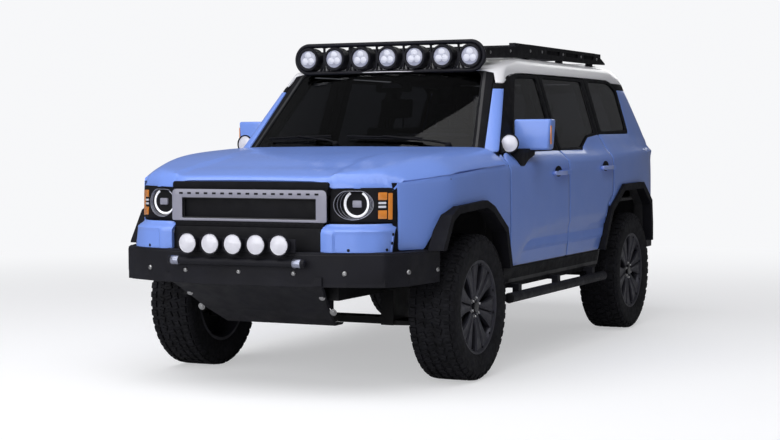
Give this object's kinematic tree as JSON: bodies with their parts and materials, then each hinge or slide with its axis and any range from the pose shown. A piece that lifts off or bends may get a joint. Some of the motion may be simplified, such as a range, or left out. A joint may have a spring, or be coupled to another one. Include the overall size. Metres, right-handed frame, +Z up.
{
  "type": "lifted off-road 4x4",
  "caption": "Lifted off-road 4x4 with a steel front bumper, round lamp bars, roof rack, opening doors, hood and tailgate, steering and rolling wheels.",
  "frame": {"origin": "middle of the vehicle's length and width, on the ground", "axes": "+X to the vehicle's left, -Y forwards, +Z up"},
  "size_m": [2.16, 5.04, 1.9679],
  "materials": {
    "body_paint": "gloss periwinkle blue paint",
    "roof_paint": "gloss white paint",
    "coated_steel": "textured black powder coat",
    "chassis_steel": "black chassis paint",
    "black_plastic": "grained black plastic",
    "grille_grey": "satin grey grille frame",
    "lamp": "white lens in a black housing",
    "tail_lamp": "red lens",
    "glass": "dark tinted glass",
    "wheel_alloy": "dark grey painted alloy",
    "tyre": "black rubber",
    "seat_fabric": "dark grey fabric"
  },
  "bodies": {
    "root": {"arch_flares": "black_plastic", "body_side_left": "body_paint", "body_side_right": "body_paint", "bumper_lamps": "lamp", "corner_covers": "body_paint", "cowl_panel": "black_plastic", "dashboard": "black_plastic", "engine_block": "chassis_steel", "floor_pan": "chassis_steel", "front_bumper": "coated_steel", "front_seats": "seat_fabric", "front_suspension": "chassis_steel", "front_wings": "body_paint", "grille": "grille_grey", "guard_bar": "coated_steel", "headlamps": "lamp", "ladder_frame": "chassis_steel", "quarter_windows": "glass", "rear_axle": "chassis_steel", "rear_bench": "seat_fabric", "rear_bumper": "coated_steel", "roof_light_bar": "lamp", "roof_panel": "roof_paint", "roof_rack": "coated_steel", "side_steps": "coated_steel", "skid_plate": "coated_steel", "tail_lamps": "tail_lamp", "windscreen": "glass"},
    "front_door_left": {"front_door_glass_left": "glass", "front_door_left": "body_paint", "mirror_left": "body_paint"},
    "front_door_right": {"front_door_glass_right": "glass", "front_door_right": "body_paint", "mirror_right": "body_paint"},
    "hood": {"hood": "body_paint"},
    "knuckle_left": {"knuckle_left": "chassis_steel"},
    "knuckle_right": {"knuckle_right": "chassis_steel"},
    "rear_door_left": {"rear_door_glass_left": "glass", "rear_door_left": "body_paint"},
    "rear_door_right": {"rear_door_glass_right": "glass", "rear_door_right": "body_paint"},
    "wheel_front_left": {"rim_front_left": "wheel_alloy", "tyre_front_left": "tyre"},
    "wheel_front_right": {"rim_front_right": "wheel_alloy", "tyre_front_right": "tyre"},
    "wheel_rear_left": {"rim_rear_left": "wheel_alloy", "tyre_rear_left": "tyre"},
    "wheel_rear_right": {"rim_rear_right": "wheel_alloy", "tyre_rear_right": "tyre"},
    "steering_wheel": {"steering_wheel": "black_plastic"},
    "tailgate": {"tailgate": "body_paint", "tailgate_glass": "glass"}
  },
  "joints": [
    {"name": "steer_left", "type": "hinge", "parent": "root", "child": "knuckle_left", "pos_m": [0.76, -1.44, 0.412], "axis": [0, 0, 1], "range_deg": [-30, 30]},
    {"name": "wheel_spin_front_left", "type": "hinge", "parent": "knuckle_left", "child": "wheel_front_left", "pos_m": [0.832, -1.44, 0.412], "axis": [1, 0, 0], "continuous": true},
    {"name": "wheel_spin_rear_left", "type": "hinge", "parent": "root", "child": "wheel_rear_left", "pos_m": [0.832, 1.41, 0.412], "axis": [1, 0, 0], "continuous": true},
    {"name": "front_door_swing_left", "type": "hinge", "parent": "root", "child": "front_door_left", "pos_m": [0.942, -0.94, 0.9], "axis": [0, 0, -1], "range_deg": [0, 65]},
    {"name": "rear_door_swing_left", "type": "hinge", "parent": "root", "child": "rear_door_left", "pos_m": [0.942, 0.104, 0.9], "axis": [0, 0, -1], "range_deg": [0, 65]},
    {"name": "steer_right", "type": "hinge", "parent": "root", "child": "knuckle_right", "pos_m": [-0.76, -1.44, 0.412], "axis": [0, 0, 1], "range_deg": [-30, 30]},
    {"name": "wheel_spin_front_right", "type": "hinge", "parent": "knuckle_right", "child": "wheel_front_right", "pos_m": [-0.832, -1.44, 0.412], "axis": [1, 0, 0], "continuous": true},
    {"name": "wheel_spin_rear_right", "type": "hinge", "parent": "root", "child": "wheel_rear_right", "pos_m": [-0.832, 1.41, 0.412], "axis": [1, 0, 0], "continuous": true},
    {"name": "front_door_swing_right", "type": "hinge", "parent": "root", "child": "front_door_right", "pos_m": [-0.942, -0.94, 0.9], "axis": [0, 0, 1], "range_deg": [0, 65]},
    {"name": "rear_door_swing_right", "type": "hinge", "parent": "root", "child": "rear_door_right", "pos_m": [-0.942, 0.104, 0.9], "axis": [0, 0, 1], "range_deg": [0, 65]},
    {"name": "steering_wheel_turn", "type": "hinge", "parent": "root", "child": "steering_wheel", "pos_m": [0.37, -0.455, 1.34], "axis": [0, 0.9063, 0.4226], "range_deg": [-450, 450]},
    {"name": "tailgate_lift", "type": "hinge", "parent": "root", "child": "tailgate", "pos_m": [0, 2.02, 1.758], "axis": [1, 0, 0], "range_deg": [0, 78]},
    {"name": "hood_lift", "type": "hinge", "parent": "root", "child": "hood", "pos_m": [0, -1.008, 1.3], "axis": [-1, 0, 0], "range_deg": [0, 50]}
  ],
  "couplings": [
    {"joint": "steer_right", "follows": "steer_left", "ratio": 1},
    {"joint": "steering_wheel_turn", "follows": "steer_left", "ratio": 15}
  ]
}
